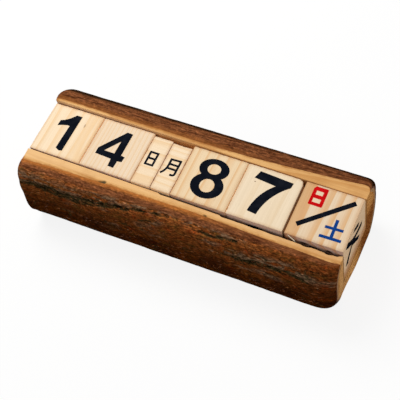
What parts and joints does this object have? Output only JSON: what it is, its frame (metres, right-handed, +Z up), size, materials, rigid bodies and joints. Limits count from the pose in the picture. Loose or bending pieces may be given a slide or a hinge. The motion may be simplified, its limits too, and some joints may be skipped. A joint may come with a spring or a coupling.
{
  "type": "perpetual desk calendar",
  "caption": "Perpetual desk calendar: a bark-covered log tray with an open channel that holds loose printed wooden blocks for the day, the month and the weekday.",
  "frame": {"origin": "on the flat base, under the middle of the channel", "axes": "+X along the row of blocks to the right, towards the weekday cube; -Y to the front, where the reader sits; +Z up"},
  "size_m": [0.202, 0.0768, 0.0558],
  "materials": {
    "log_wood": "golden light wood, sawn and smoothed, with fine grain along the log and thin varnish",
    "bark": "thin brown bark with long ridges and dark fissures, satin varnish",
    "block_wood": "planed pale softwood with peach grain lines, no varnish",
    "tile_wood": "planed pale softwood with the grain across the tile, no varnish",
    "weekday_wood": "planed pale softwood with broad peach bands, no varnish",
    "dark_ink": "dark blue-black ink printed on the wood, matt",
    "red_ink": "red ink printed on the wood, matt",
    "blue_ink": "blue ink printed on the wood, matt"
  },
  "bodies": {
    "tray": {"tray_log": "log_wood", "bark_front": "bark", "bark_back": "bark"},
    "number_cube_1": {"number_cube_1": "block_wood"},
    "number_cube_2": {"number_cube_2": "block_wood"},
    "day_tile": {"day_tile": "tile_wood"},
    "month_tile": {"month_tile": "tile_wood"},
    "number_cube_3": {"number_cube_3": "block_wood"},
    "number_cube_4": {"number_cube_4": "block_wood"},
    "weekday_cube": {"weekday_cube": "weekday_wood"}
  },
  "joints": [
    {"name": "lift_number_cube_1", "type": "slide", "parent": "tray", "child": "number_cube_1", "axis": [0, 0, 1], "range_m": [0, 0.045]},
    {"name": "lift_number_cube_2", "type": "slide", "parent": "tray", "child": "number_cube_2", "axis": [0, 0, 1], "range_m": [0, 0.045]},
    {"name": "lift_day_tile", "type": "slide", "parent": "tray", "child": "day_tile", "axis": [0, 0, 1], "range_m": [0, 0.045]},
    {"name": "lift_month_tile", "type": "slide", "parent": "tray", "child": "month_tile", "axis": [0, 0, 1], "range_m": [0, 0.045]},
    {"name": "lift_number_cube_3", "type": "slide", "parent": "tray", "child": "number_cube_3", "axis": [0, 0, 1], "range_m": [0, 0.045]},
    {"name": "lift_number_cube_4", "type": "slide", "parent": "tray", "child": "number_cube_4", "axis": [0, 0, 1], "range_m": [0, 0.045]},
    {"name": "lift_weekday_cube", "type": "slide", "parent": "tray", "child": "weekday_cube", "axis": [0, 0, 1], "range_m": [0, 0.045]}
  ]
}
